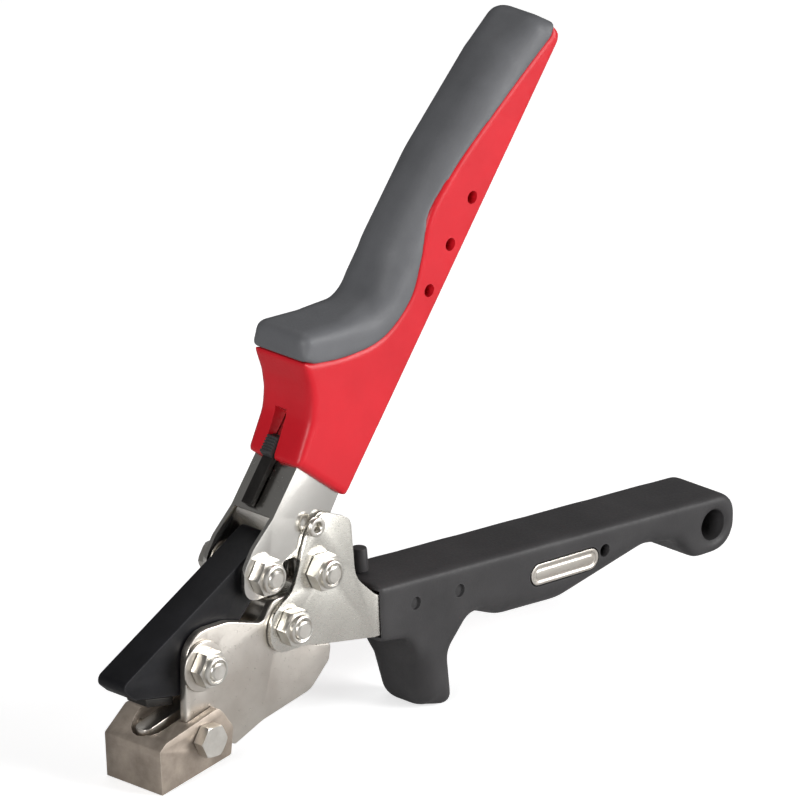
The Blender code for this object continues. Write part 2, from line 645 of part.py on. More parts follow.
def build_latch(rail):
    """The latch bar in the handle's front slot, with its hook through the web's window and a thumb rib."""
    outline = [along_handle(1.5, -GAP), along_handle(1.5, -2.3), along_handle(26.0, -2.3), along_handle(26.0, -GAP),
               along_handle(15.4, -GAP), along_handle(15.4, 3.4), along_handle(12.4, 3.4),
               along_handle(12.4, -GAP)]
    prism("latch_bar", outline, LATCH_Y - LATCH_HALF, LATCH_Y + LATCH_HALF, die_steel(), rail)
    rib = rounded([(*along_handle(18.0, -2.6), 0.0), (*along_handle(18.8, -4.6), 0.6),
                   (*along_handle(24.6, -4.6), 0.6), (*along_handle(25.4, -2.6), 0.0)])
    prism("latch_thumb_rib", rib, LATCH_Y - LATCH_HALF, LATCH_Y + LATCH_HALF, black_plastic(), rail)


clear_scene()
jaw_axis = pivot_empty("jaw_axis", JAW_PIVOT)
lower_axis = pivot_empty("lower_axis", HANDLE_PIVOT)
upper_axis = pivot_empty("upper_axis", TOGGLE_PIVOT, lower_axis)
latch_rail = pivot_empty("latch_rail", along_handle(12.0, 0.0), upper_axis)
build_head()
build_die_block()
build_anvil()
build_head_fasteners()
build_jaw(jaw_axis)
build_jaw_insert(jaw_axis)
build_lower_channel(lower_axis)
build_lower_grip(lower_axis)
build_grip_details(lower_axis)
build_lower_pivot_parts(lower_axis)
build_return_spring(lower_axis)
build_upper_channel(upper_axis)
build_upper_body(upper_axis)
build_upper_grip(upper_axis)
build_link_parts(upper_axis)
build_latch(latch_rail)
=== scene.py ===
import math

import bpy
import numpy as np
from mathutils import Matrix, Vector


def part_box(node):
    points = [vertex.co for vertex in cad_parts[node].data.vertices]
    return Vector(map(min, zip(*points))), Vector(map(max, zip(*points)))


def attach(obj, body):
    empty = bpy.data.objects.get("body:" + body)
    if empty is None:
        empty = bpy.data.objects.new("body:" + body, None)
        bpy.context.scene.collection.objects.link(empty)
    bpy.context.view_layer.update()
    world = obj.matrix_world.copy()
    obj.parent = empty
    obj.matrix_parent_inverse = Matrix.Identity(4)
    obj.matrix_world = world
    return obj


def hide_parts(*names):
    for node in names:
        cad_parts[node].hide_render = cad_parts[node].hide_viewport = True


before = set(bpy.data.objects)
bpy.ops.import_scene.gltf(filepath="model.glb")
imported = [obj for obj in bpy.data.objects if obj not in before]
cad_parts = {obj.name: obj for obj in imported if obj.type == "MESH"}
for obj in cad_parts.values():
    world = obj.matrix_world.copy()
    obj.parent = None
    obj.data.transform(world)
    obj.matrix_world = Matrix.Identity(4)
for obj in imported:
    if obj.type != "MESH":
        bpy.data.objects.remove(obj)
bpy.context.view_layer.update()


# ---------------------------------------------------------------------------
# Die block: a one-inch block of sawn and ground tool steel, left bare and a
# little brown. It is bolted between the head plates' front ends, and its
# pocket holds the anvil bar.

MM = 0.001
HANDLE_PIVOT = (58.8, 42.0)
GUARD_FOOT = (126.0, -6.0)
STAND = math.atan2(-GUARD_FOOT[1], GUARD_FOOT[0])
PIVOT_PLACE = sum(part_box("bush_handle_pivot"), Vector()) / 2


def spot(x, z, y=0.0):
    """A place on the tool, from millimetres of its side drawing and towards the far side. The drawing is
    turned a little, to stand on the block's front edge and the finger guard."""
    x, z = x - HANDLE_PIVOT[0], z - HANDLE_PIVOT[1]
    along = x * math.cos(STAND) - z * math.sin(STAND)
    up = x * math.sin(STAND) + z * math.cos(STAND)
    return Vector((PIVOT_PLACE.x + along * MM, y * MM, PIVOT_PLACE.z + up * MM))


def drawn(x, z):
    """The other way: a place's metres back to the side drawing's millimetres."""
    along, up = (x - PIVOT_PLACE.x) / MM, (z - PIVOT_PLACE.z) / MM
    return (along * math.cos(STAND) + up * math.sin(STAND) + HANDLE_PIVOT[0],
            up * math.cos(STAND) - along * math.sin(STAND) + HANDLE_PIVOT[1])


def pick(piece):
    bpy.ops.object.select_all(action="DESELECT")
    piece.select_set(True)
    bpy.context.view_layer.objects.active = piece


def apply_modifier(piece, kind, **settings):
    pick(piece)
    modifier = piece.modifiers.new(kind.lower(), kind)
    for name, value in settings.items():
        setattr(modifier, name, value)
    bpy.ops.object.modifier_apply(modifier=modifier.name)


def tidy_shell(piece):
    """Merges doubled corners, drops loose bits and turns the faces outwards."""
    pick(piece)
    bpy.ops.object.mode_set(mode="EDIT")
    bpy.ops.mesh.select_all(action="SELECT")
    bpy.ops.mesh.remove_doubles(threshold=2e-6)
    bpy.ops.mesh.dissolve_degenerate(threshold=1e-6)
    bpy.ops.mesh.delete_loose()
    bpy.ops.mesh.select_all(action="SELECT")
    bpy.ops.mesh.normals_make_consistent(inside=False)
    bpy.ops.object.mode_set(mode="OBJECT")


def worked_copy(node, name):
    """A copy of a plain part, its triangles merged back to whole faces, ready to have its edges worked."""
    pick(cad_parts[node])
    bpy.ops.object.duplicate()
    piece = bpy.context.object
    piece.name = name
    piece.parent = None
    for key in list(piece.keys()):
        del piece[key]
    piece.data.materials.clear()
    pick(piece)
    bpy.ops.mesh.customdata_custom_splitnormals_clear()
    bpy.ops.object.mode_set(mode="EDIT")
    bpy.ops.mesh.select_all(action="SELECT")
    bpy.ops.mesh.remove_doubles(threshold=2e-6)
    bpy.ops.mesh.mark_sharp(clear=True)
    bpy.ops.mesh.dissolve_limited(angle_limit=math.radians(0.6))
    bpy.ops.object.mode_set(mode="OBJECT")
    return piece


def break_edges(piece, width, segments=2, above=28.0):
    """Takes the sharpness off every edge that turns more than the angle."""
    apply_modifier(piece, "BEVEL", width=width * MM, segments=segments, limit_method="ANGLE",
                   angle_limit=math.radians(above), use_clamp_overlap=True, miter_outer="MITER_ARC")


def smooth_shade(piece, angle=32.0):
    pick(piece)
    bpy.ops.object.shade_smooth_by_angle(angle=math.radians(angle))


def deliver(piece, look, body, slot, *nodes):
    """Gives a finished piece its surface and the body it moves with, and hides the plain parts it stands for."""
    piece.data.materials.clear()
    piece.data.materials.append(look)
    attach(piece, body)
    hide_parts(*nodes)


def edge_wear_group():
    """A mask of the outer edges, broken up by noise, where handling rubs a finish thin."""
    group = bpy.data.node_groups.new("edge_wear", "ShaderNodeTree")
    for name, value in (("Width", 0.0006), ("Patch Scale", 900.0), ("Start", 0.02), ("Full", 0.12)):
        socket = group.interface.new_socket(name, in_out="INPUT", socket_type="NodeSocketFloat")
        socket.default_value = value
    group.interface.new_socket("Mask", in_out="OUTPUT", socket_type="NodeSocketFloat")
    nodes, links = group.nodes, group.links
    given = nodes.new("NodeGroupInput")
    taken = nodes.new("NodeGroupOutput")
    place = nodes.new("ShaderNodeTexCoord")
    bevel = nodes.new("ShaderNodeBevel")
    bevel.samples = 4
    surface = nodes.new("ShaderNodeNewGeometry")
    facing = nodes.new("ShaderNodeVectorMath")
    facing.operation = "DOT_PRODUCT"
    turned_away = nodes.new("ShaderNodeMath")
    turned_away.operation = "SUBTRACT"
    turned_away.inputs[0].default_value = 1.0
    level = nodes.new("ShaderNodeMapRange")
    patches = nodes.new("ShaderNodeTexNoise")
    patches.inputs["Detail"].default_value = 3.0
    broken = nodes.new("ShaderNodeMath")
    broken.operation = "MULTIPLY"
    links.new(given.outputs["Width"], bevel.inputs["Radius"])
    links.new(bevel.outputs["Normal"], facing.inputs[0])
    links.new(surface.outputs["Normal"], facing.inputs[1])
    links.new(facing.outputs["Value"], turned_away.inputs[1])
    links.new(turned_away.outputs["Value"], level.inputs["Value"])
    links.new(given.outputs["Start"], level.inputs["From Min"])
    links.new(given.outputs["Full"], level.inputs["From Max"])
    links.new(place.outputs["Object"], patches.inputs["Vector"])
    links.new(given.outputs["Patch Scale"], patches.inputs["Scale"])
    links.new(level.outputs["Result"], broken.inputs[0])
    links.new(patches.outputs["Fac"], broken.inputs[1])
    links.new(broken.outputs["Value"], taken.inputs["Mask"])
    return group


def grain_group():
    """Large soft clouding, and a fine grain that can be turned and stretched along the way a face was worked."""
    group = bpy.data.node_groups.new("worked_grain", "ShaderNodeTree")
    for name, kind, value in (("Stretch", "NodeSocketVector", (1.0, 1.0, 1.0)),
                              ("Turn", "NodeSocketVector", (0.0, 0.0, 0.0)),
                              ("Cloud Scale", "NodeSocketFloat", 60.0), ("Grain Scale", "NodeSocketFloat", 1800.0)):
        socket = group.interface.new_socket(name, in_out="INPUT", socket_type=kind)
        socket.default_value = value
    for name in ("Cloud", "Grain"):
        group.interface.new_socket(name, in_out="OUTPUT", socket_type="NodeSocketFloat")
    nodes, links = group.nodes, group.links
    given = nodes.new("NodeGroupInput")
    taken = nodes.new("NodeGroupOutput")
    place = nodes.new("ShaderNodeTexCoord")
    turn = nodes.new("ShaderNodeMapping")
    stretch = nodes.new("ShaderNodeVectorMath")
    stretch.operation = "MULTIPLY"
    links.new(place.outputs["Object"], turn.inputs["Vector"])
    links.new(given.outputs["Turn"], turn.inputs["Rotation"])
    links.new(turn.outputs["Vector"], stretch.inputs[0])
    links.new(given.outputs["Stretch"], stretch.inputs[1])
    for name, scale, detail, source in (("Cloud", "Cloud Scale", 4.0, place.outputs["Object"]),
                                        ("Grain", "Grain Scale", 6.0, stretch.outputs["Vector"])):
        noise = nodes.new("ShaderNodeTexNoise")
        noise.inputs["Detail"].default_value = detail
        noise.inputs["Roughness"].default_value = 0.6
        links.new(source, noise.inputs["Vector"])
        links.new(given.outputs[scale], noise.inputs["Scale"])
        links.new(noise.outputs["Fac"], taken.inputs[name])
    return group


EDGE_WEAR = edge_wear_group()
GRAIN = grain_group()


def surface_finish(name, dark, light, worn, roughness, metallic, wear=0.6, wear_width=0.0006, cloud=60.0,
                   grain=1800.0, stretch=(1.0, 1.0, 1.0), turn=(0.0, 0.0, 0.0), bump=0.15, depth=0.00004,
                   specular=0.5, coat=0.0):
    """A surface that clouds between two colours, is rubbed to a third at its edges, and has a grain."""
    made = bpy.data.materials.new(name)
    made.use_nodes = True
    nodes, links = made.node_tree.nodes, made.node_tree.links
    shader = nodes["Principled BSDF"]
    shader.inputs["Metallic"].default_value = metallic
    shader.inputs["Specular IOR Level"].default_value = specular
    shader.inputs["Coat Weight"].default_value = coat
    shader.inputs["Coat Roughness"].default_value = 0.3
    texture = nodes.new("ShaderNodeGroup")
    texture.node_tree = GRAIN
    texture.inputs["Stretch"].default_value = stretch
    texture.inputs["Turn"].default_value = turn
    texture.inputs["Cloud Scale"].default_value = cloud
    texture.inputs["Grain Scale"].default_value = grain
    edges = nodes.new("ShaderNodeGroup")
    edges.node_tree = EDGE_WEAR
    edges.inputs["Width"].default_value = wear_width
    spread = nodes.new("ShaderNodeMapRange")
    spread.inputs["From Min"].default_value = 0.3
    spread.inputs["From Max"].default_value = 0.7
    ground = nodes.new("ShaderNodeMix")
    ground.data_type = "RGBA"
    ground.inputs[6].default_value = (*dark, 1.0)
    ground.inputs[7].default_value = (*light, 1.0)
    rubbed = nodes.new("ShaderNodeMix")
    rubbed.data_type = "RGBA"
    rubbed.inputs[7].default_value = (*worn, 1.0)
    amount = nodes.new("ShaderNodeMath")
    amount.operation = "MULTIPLY"
    amount.inputs[1].default_value = wear
    gloss = nodes.new("ShaderNodeMapRange")
    gloss.inputs["From Min"].default_value = 0.3
    gloss.inputs["From Max"].default_value = 0.7
    gloss.inputs["To Min"].default_value = roughness[0]
    gloss.inputs["To Max"].default_value = roughness[1]
    relief = nodes.new("ShaderNodeBump")
    relief.inputs["Strength"].default_value = bump
    relief.inputs["Distance"].default_value = depth
    links.new(texture.outputs["Cloud"], spread.inputs["Value"])
    links.new(spread.outputs["Result"], ground.inputs[0])
    links.new(ground.outputs[2], rubbed.inputs[6])
    links.new(edges.outputs["Mask"], amount.inputs[0])
    links.new(amount.outputs["Value"], rubbed.inputs[0])
    links.new(rubbed.outputs[2], shader.inputs["Base Color"])
    links.new(texture.outputs["Grain"], gloss.inputs["Value"])
    links.new(gloss.outputs["Result"], shader.inputs["Roughness"])
    links.new(texture.outputs["Grain"], relief.inputs["Height"])
    links.new(relief.outputs["Normal"], shader.inputs["Normal"])
    return made


bare_die_steel = surface_finish("bare_die_steel", (0.27, 0.225, 0.185), (0.47, 0.40, 0.335), (0.66, 0.59, 0.51),
                                (0.40, 0.58), 0.6, wear=0.9, cloud=110.0, grain=900.0, stretch=(1.0, 1.0, 3.0),
                                bump=0.25, depth=0.00006)

block = worked_copy("die_block", "die_block_ground")
break_edges(block, 0.35)
smooth_shade(block)
deliver(block, bare_die_steel, "head", "die_steel", "die_block")


# ---------------------------------------------------------------------------
# Anvil bar: a round-nosed bar of hardened steel, plated with the plates, that
# lies on a slope in the block's pocket. A cross dowel from the far side
# keeps it from sliding out.

nickel_plate = surface_finish("nickel_plate", (0.60, 0.555, 0.50), (0.76, 0.72, 0.66), (0.90, 0.87, 0.82),
                              (0.26, 0.40), 1.0, wear=0.7, cloud=45.0, grain=1500.0, bump=0.10)

for node, name, width in (("anvil_bar", "anvil_bar_nosed", 0.5), ("anvil_dowel", "anvil_cross_dowel", 0.15)):
    part = worked_copy(node, name)
    break_edges(part, width, 3, 40.0)
    smooth_shade(part)
    deliver(part, nickel_plate, "head", "nickel_plate" if node == "anvil_bar" else "bright_steel", node)


# ---------------------------------------------------------------------------
# Head plates: two blanked and plated steel side plates. They are the tool's
# frame: the die block is bolted between their front ends, and the jaw and
# both handles turn on bolts through them.

for side in ("near", "far"):
    plate = worked_copy(f"head_plate_{side}", f"head_plate_{side}_blanked")
    break_edges(plate, 0.35, 3)
    smooth_shade(plate)
    deliver(plate, nickel_plate, "head", "nickel_plate", f"head_plate_{side}")


# ---------------------------------------------------------------------------
# Upper jaw: a thick steel bar painted satin black, cut as a wedge over the
# block, with a hardened insert screwed under its nose. It turns on the front
# bolt, and the upper handle's link bolt drives its tail.

black_jaw_paint = surface_finish("black_jaw_paint", (0.004, 0.004, 0.005), (0.010, 0.010, 0.012),
                                 (0.12, 0.12, 0.13), (0.36, 0.50), 0.0, wear=0.4, wear_width=0.0009, cloud=70.0,
                                 grain=700.0, bump=0.22, depth=0.00008, specular=0.22)

jaw = worked_copy("upper_jaw", "upper_jaw_bar")
break_edges(jaw, 0.9, 4)
smooth_shade(jaw)
deliver(jaw, black_jaw_paint, "jaw", "black_paint", "upper_jaw")

black_oxide = surface_finish("black_oxide", (0.012, 0.011, 0.010), (0.030, 0.028, 0.026), (0.12, 0.11, 0.10),
                             (0.36, 0.52), 0.5, wear=0.4, cloud=120.0, grain=1500.0, bump=0.10)

for node, look, slot, name in (("jaw_insert", black_oxide, "die_steel", "jaw_insert_hard"),
                               ("jaw_insert_screw", nickel_plate, "bright_steel", "jaw_insert_cap_screw")):
    part = worked_copy(node, name)
    break_edges(part, 0.2)
    smooth_shade(part)
    deliver(part, look, "jaw", slot, node)


# ---------------------------------------------------------------------------
# Washers and bushes: plain turned and plated rings. The large washers lie
# under the jaw bolt's head and nut, the thin ones space the jaw's tail in
# the upper channel, and the bushes keep the plates apart.

for node in ("washer_jaw_pivot_near", "washer_jaw_pivot_far", "washer_link_pivot_near", "washer_link_pivot_far",
             "bush_jaw_pivot", "bush_handle_pivot", "bush_toggle_pivot"):
    ring = worked_copy(node, node + "_turned")
    break_edges(ring, 0.3, 3, 40.0)
    smooth_shade(ring)
    body = {"link": "upper_handle", "toggle": "lower_handle"}.get(node.split("_")[1], "head")
    deliver(ring, nickel_plate, body, "nickel_plate", node)


# ---------------------------------------------------------------------------
# Pivot bolts and locknuts: quarter-inch zinc-plated hexagon bolts with
# collared nylon locknuts, heads to the far side. They are the tool's four
# fixings, and three of them are its pivots.

bright_steel = surface_finish("bright_steel", (0.62, 0.59, 0.54), (0.80, 0.78, 0.73), (0.93, 0.91, 0.87),
                              (0.28, 0.42), 1.0, wear=0.6, wear_width=0.0004, cloud=160.0, grain=2500.0, bump=0.08)

JAW_PIVOT = (20.6, 38.3)
BLOCK_BOLT = (19.6, 14.3)
LINK_PIVOT = (48.3, 61.8)
TOGGLE_PIVOT = (72.5, 57.3)
HEXAGON = 6.4
BLOCK_HEXAGON = 5.8
SHANK = 3.1
CHAMFER = math.radians(30)


def spun(name, pivot, profile, steps=40):
    """A profile of (radius, y) points round a pivot: a ring, or a solid where it starts and ends on the axis."""
    bpy.ops.object.select_all(action="DESELECT")
    bpy.ops.mesh.primitive_circle_add(vertices=len(profile), radius=MM, fill_type="NOTHING")
    piece = bpy.context.object
    piece.name = name
    for vert, (radius, y) in zip(piece.data.vertices, profile):
        vert.co = spot(pivot[0] + radius, pivot[1], y)
    bpy.ops.object.mode_set(mode="EDIT")
    bpy.ops.mesh.select_all(action="SELECT")
    bpy.ops.mesh.spin(steps=steps, angle=2 * math.pi, center=spot(*pivot), axis=(0, 1, 0))
    bpy.ops.object.mode_set(mode="OBJECT")
    tidy_shell(piece)
    return piece


def combine(piece, tool, how):
    """Joins a closed tool to a closed piece, or cuts with it, and throws the tool away."""
    apply_modifier(piece, "BOOLEAN", operation=how, solver="EXACT", object=tool)
    bpy.data.objects.remove(tool)


def hexagon(name, pivot, radius, seat, face):
    """A hexagon from its seat to its outer face, whose corners a shallow cone has turned off."""
    side = 1 if face > seat else -1
    thickness = abs(face - seat)
    middle = spot(*pivot, (seat + face) / 2)
    outwards = (-side * math.pi / 2, 0.0, 0.0)
    bpy.ops.object.select_all(action="DESELECT")
    bpy.ops.mesh.primitive_cylinder_add(vertices=6, radius=radius * MM, depth=thickness * MM, location=middle,
                                        rotation=(outwards[0], math.radians(30), 0.0))
    piece = bpy.context.object
    piece.name = name
    bpy.ops.object.transform_apply(location=True, rotation=True, scale=True)
    bpy.ops.object.select_all(action="DESELECT")
    small = radius * 0.9
    bpy.ops.mesh.primitive_cone_add(vertices=48, radius1=(small + thickness / math.tan(CHAMFER)) * MM,
                                    radius2=small * MM, depth=thickness * MM * 1.0001, location=middle,
                                    rotation=outwards)
    cone = bpy.context.object
    bpy.ops.object.transform_apply(location=True, rotation=True, scale=True)
    combine(piece, cone, "INTERSECT")
    return piece


def round_bar(pivot, radius, low, high, sides=32):
    """A round closed tool along Y."""
    bpy.ops.object.select_all(action="DESELECT")
    bpy.ops.mesh.primitive_cylinder_add(vertices=sides, radius=radius * MM, depth=(high - low) * MM,
                                        location=spot(*pivot, (low + high) / 2), rotation=(math.pi / 2, 0, 0))
    bar = bpy.context.object
    bpy.ops.object.transform_apply(location=True, rotation=True, scale=True)
    return bar


def locknut(name, pivot, radius, seat, side):
    """A hexagon, a round collar crimped over its nylon ring, and the bore."""
    face = side * (seat + 4.4)
    top = side * (seat + 6.2)
    nut = hexagon(name, pivot, radius, side * seat, face)
    collar = spun("collar", pivot, [(0.0, face - side * 1.0), (4.9, face - side * 1.0), (4.9, top - side * 0.9),
                                    (4.7, top - side * 0.35), (4.3, top - side * 0.05), (4.0, top),
                                    (3.7, top - side * 0.25), (3.6, top - side * 0.6), (0.0, top - side * 0.6)])
    combine(nut, collar, "UNION")
    combine(nut, round_bar(pivot, SHANK + 0.15, *sorted((side * (seat - 1.0), top + side))), "DIFFERENCE")
    break_edges(nut, 0.18, 2, 42.0)
    smooth_shade(nut, 28.0)
    return nut


def bolt(name, pivot, radius, seat_head, seat_nut, tip, side=1):
    """A hexagon head with its washer face, a shank, and the last turns of thread past the nut."""
    pitch = 1.27
    profile = [(0.0, side * (seat_head + 0.4)), (SHANK, side * (seat_head + 0.4)), (SHANK, -side * (seat_nut - 1.0))]
    place = seat_nut - 1.0
    while place < tip - pitch - 0.2:
        profile += [(SHANK, -side * (place + 0.1)), (SHANK - 0.45, -side * (place + pitch / 2)),
                    (SHANK, -side * (place + pitch - 0.1))]
        place += pitch
    profile += [(SHANK - 0.1, -side * (tip - 0.5)), (SHANK - 0.7, -side * tip), (0.0, -side * tip)]
    shank = spun("shank", pivot, profile)
    made = hexagon(name, pivot, radius, side * seat_head, side * (seat_head + 4.0))
    combine(made, shank, "UNION")
    break_edges(made, 0.2, 2, 50.0)
    smooth_shade(made, 28.0)
    return made


for label, pivot, seat, body in (("jaw_pivot", JAW_PIVOT, 11.3, "head"), ("handle_pivot", HANDLE_PIVOT, 11.6, "head"),
                                 ("toggle_pivot", TOGGLE_PIVOT, 11.6, "lower_handle"),
                                 ("link_pivot", LINK_PIVOT, 9.8, "upper_handle")):
    deliver(locknut(f"locknut_{label}_collared", pivot, HEXAGON, seat, -1), bright_steel, body, "bright_steel",
            f"locknut_{label}")
    deliver(bolt(f"bolt_{label}_hexagon", pivot, HEXAGON, seat, seat, seat + 6.9), bright_steel, body,
            "bright_steel", f"bolt_{label}")

deliver(locknut("locknut_die_block_collared", BLOCK_BOLT, BLOCK_HEXAGON, 13.0, 1), bright_steel, "head",
        "bright_steel", "locknut_die_block")
deliver(bolt("bolt_die_block_hexagon", BLOCK_BOLT, BLOCK_HEXAGON, 13.0, 13.0, 19.0, -1), bright_steel, "head",
        "bright_steel", "bolt_die_block")


# ---------------------------------------------------------------------------
# Lower handle's channel: plated sheet steel folded to a U with its web
# underneath. Its ears rise past both handle pivots, and its tail runs inside
# the black grip, where two spring pins hold it.

channel_nickel = surface_finish("channel_nickel", (0.62, 0.60, 0.55), (0.80, 0.78, 0.72), (0.93, 0.91, 0.86),
                                (0.22, 0.36), 1.0, wear=0.6, cloud=40.0, grain=700.0, stretch=(1.0, 1.0, 9.0),
                                turn=(0.0, math.radians(-4), 0.0), bump=0.04)


def fold_edges(piece, chosen, width, segments=4):
    """Rounds the edges that a test picks by their two ends: the outsides of folds."""
    pick(piece)
    bpy.ops.object.mode_set(mode="EDIT")
    bpy.ops.mesh.select_all(action="DESELECT")
    bpy.ops.mesh.select_mode(type="EDGE")
    bpy.ops.object.mode_set(mode="OBJECT")
    for edge in piece.data.edges:
        ends = [piece.data.vertices[index].co for index in edge.vertices]
        edge.select = chosen(*ends)
    bpy.ops.object.mode_set(mode="EDIT")
    bpy.ops.mesh.bevel(offset=width * MM, segments=segments, affect="EDGES", clamp_overlap=True)
    bpy.ops.object.mode_set(mode="OBJECT")


def on_lower_fold(start, end):
    """Whether an edge runs along the bottom web's outer corner."""
    (start_x, start_z), (end_x, end_z) = drawn(start.x, start.z), drawn(end.x, end.z)
    level = abs(end_z - start_z) < 0.25 * abs(end_x - start_x)
    outside = min(abs(start.y), abs(end.y)) > 11.2 * MM
    low = max(start_z, end_z) < 34.5
    behind = min(start_x, end_x) > 65.0
    return (end - start).length > 5.0 * MM and level and outside and low and behind


lower_channel = worked_copy("lower_channel", "lower_channel_folded")
fold_edges(lower_channel, on_lower_fold, 1.8)
break_edges(lower_channel, 0.25, 2, 35.0)
smooth_shade(lower_channel)
deliver(lower_channel, channel_nickel, "lower_handle", "nickel_plate", "lower_channel")


# ---------------------------------------------------------------------------
# Lower grip: a black glass-filled nylon moulding over the channel, with a
# finger guard, a belly, a hanging eye, and a shallow seat on each side for a
# blank plate. Its top edges are crisp and its belly is full.

black_nylon = surface_finish("black_nylon", (0.034, 0.033, 0.034), (0.052, 0.050, 0.051), (0.10, 0.10, 0.102),
                             (0.42, 0.56), 0.0, wear=0.35, wear_width=0.0012, cloud=35.0, grain=1100.0, bump=0.35,
                             depth=0.00010, specular=0.25)

LOWER_HALF = 12.6
LOWER_OUTLINE = [
    (98.6, 44.1, 1.5, 1.6), (99.8, 24.4, 1.0, 1.6), (113.5, 22.0, 7.0, 1.6), (116.5, 10.1, 0.0, 7.5),
    (120.5, -5.74, 6.0, 9.0), (134.4, -6.4, 4.0, 5.0), (131.2, 13.0, 6.0, 4.0), (143.0, 23.0, 7.0, 5.5),
    (157.0, 16.8, 12.0, 8.0), (184.0, 15.0, 20.0, 8.0), (222.0, 23.6, 16.0, 6.0), (236.0, 22.0, 10.0, 3.5),
    (244.5, 13.2, 8.0, 2.2), (263.4, 13.2, 9.7, 1.8), (263.4, 32.3, 9.5, 1.8), (250.0, 33.1, 4.0, 1.5),
]
HANG_HOLE = (253.5, 22.9)
HANG_RADIUS = 5.3
GRIP_PINS = ((115.0, 34.2), (135.1, 33.0))
SIDE_HOLE = (202.1, 28.4)
SMALL_HOLE = 2.2
FINE_ARC = math.radians(8)


def drawn_outline(corners):
    """Fillets (x, z, fillet, edge) corners and carries each one's edge rounding along its arc."""
    points = []
    for index, (x, z, fillet, edge) in enumerate(corners):
        here = Vector((x, z))
        if fillet <= 0:
            points.append((x, z, edge))
            continue
        back = Vector(corners[index - 1][:2]) - here
        ahead = Vector(corners[(index + 1) % len(corners)][:2]) - here
        half = back.angle(ahead) / 2
        reach = min(fillet / math.tan(half), 0.499 * back.length, 0.499 * ahead.length)
        radius = reach * math.tan(half)
        middle = here + (back.normalized() + ahead.normalized()).normalized() * (radius / math.sin(half))
        start = here + back.normalized() * reach - middle
        turn = start.angle_signed(here + ahead.normalized() * reach - middle)
        steps = max(1, math.ceil(abs(turn) / FINE_ARC))
        for step in range(steps + 1):
            spoke = start.copy()
            spoke.rotate(Matrix.Rotation(-turn * step / steps, 2))
            points.append((*(middle + spoke), edge))
    return points


def flat_blank(name, outline, low, high):
    """A closed plate of an outline, from one Y to the other."""
    bpy.ops.object.select_all(action="DESELECT")
    bpy.ops.mesh.primitive_circle_add(vertices=len(outline), radius=MM, fill_type="NGON")
    piece = bpy.context.object
    piece.name = name
    for vert, place in zip(piece.data.vertices, outline):
        vert.co = spot(place[0], place[1], low)
    bpy.ops.object.mode_set(mode="EDIT")
    bpy.ops.mesh.select_all(action="SELECT")
    bpy.ops.mesh.extrude_region_move(TRANSFORM_OT_translate={"value": (0, (high - low) * MM, 0)})
    bpy.ops.mesh.select_all(action="SELECT")
    bpy.ops.mesh.normals_make_consistent(inside=False)
    bpy.ops.object.mode_set(mode="OBJECT")
    return piece


def rounded_drop(distance, radius):
    """How far a side face falls at a distance from an edge rounded to a radius."""
    inside = np.clip(radius - distance, 0.0, radius)
    return radius - np.sqrt(radius * radius - inside * inside)


def moulding(name, outline, half, eyes=(), voxel=0.75, passes=6):
    """A moulded handle part: the outline as a plate, whose sides are brought in towards each edge by that
    edge's rounding, and round each (x, z, radius, rounding) eye."""
    piece = flat_blank(name, outline, -half, half)
    apply_modifier(piece, "REMESH", mode="VOXEL", voxel_size=voxel * MM)
    places = np.array([vert.co for vert in piece.data.vertices])
    x, z = drawn(places[:, 0], places[:, 2])
    drop = np.zeros(len(places))
    for (ax, az, a_edge), (bx, bz, b_edge) in zip(outline, [*outline[1:], outline[0]]):
        run = np.array((bx - ax, bz - az))
        along = np.clip(((x - ax) * run[0] + (z - az) * run[1]) / max(run @ run, 1e-9), 0.0, 1.0)
        distance = np.hypot(x - ax - along * run[0], z - az - along * run[1])
        drop = np.maximum(drop, rounded_drop(distance, a_edge + (b_edge - a_edge) * along))
    for ex, ez, radius, edge in eyes:
        drop = np.maximum(drop, rounded_drop(np.maximum(np.hypot(x - ex, z - ez) - radius, 0.0), edge))
    places[:, 1] *= (half - drop) / half
    piece.data.vertices.foreach_set("co", places.ravel())
    piece.data.update()
    apply_modifier(piece, "REMESH", mode="VOXEL", voxel_size=voxel * MM)
    apply_modifier(piece, "SMOOTH", factor=0.5, iterations=passes)
    return piece


def carve(piece, *tools):
    """Cuts all the tools out of a moulding in one pass."""
    bpy.ops.object.select_all(action="DESELECT")
    for tool in tools:
        tool.select_set(True)
    bpy.context.view_layer.objects.active = tools[0]
    bpy.ops.object.join()
    combine(piece, bpy.context.object, "DIFFERENCE")


def plate_outline(grow):
    """The obround of the side plate, along the grip's slope."""
    start, end = Vector((171.6, 28.4)), Vector((195.3, 27.2))
    run = (end - start).normalized()
    rise = Vector((-run.y, run.x))
    half = 3.6 + grow
    return [centre + run * half * math.cos(math.radians(first + 15 * step))
            + rise * half * math.sin(math.radians(first + 15 * step))
            for centre, first in ((start, 90), (end, -90)) for step in range(13)]


lower_grip = moulding("lower_grip_moulding", drawn_outline(LOWER_OUTLINE), LOWER_HALF,
                      eyes=[(*HANG_HOLE, HANG_RADIUS, 1.6)])
channel_room = [(90.0, 22.9), (90.0, 42.4), (98.0, 42.4), (168.0, 37.2), (168.0, 23.3), (100.0, 25.9)]
carve(lower_grip,
      flat_blank("channel_room", channel_room, -11.6, 11.6),
      round_bar(HANG_HOLE, HANG_RADIUS, -20.0, 20.0, 48),
      round_bar(SIDE_HOLE, SMALL_HOLE, -20.0, -5.0, 24), round_bar(SIDE_HOLE, SMALL_HOLE, 5.0, 20.0, 24),
      *[round_bar(place, SMALL_HOLE, low, low + 9.0, 24) for place in GRIP_PINS for low in (-20.0, 11.0)])
for low in (-LOWER_HALF - 3.0, LOWER_HALF - 1.1):
    carve(lower_grip, flat_blank("plate_seat", plate_outline(0.5), low, low + 4.1))
smooth_shade(lower_grip, 40.0)
deliver(lower_grip, black_nylon, "lower_handle", "black_plastic", "lower_grip")


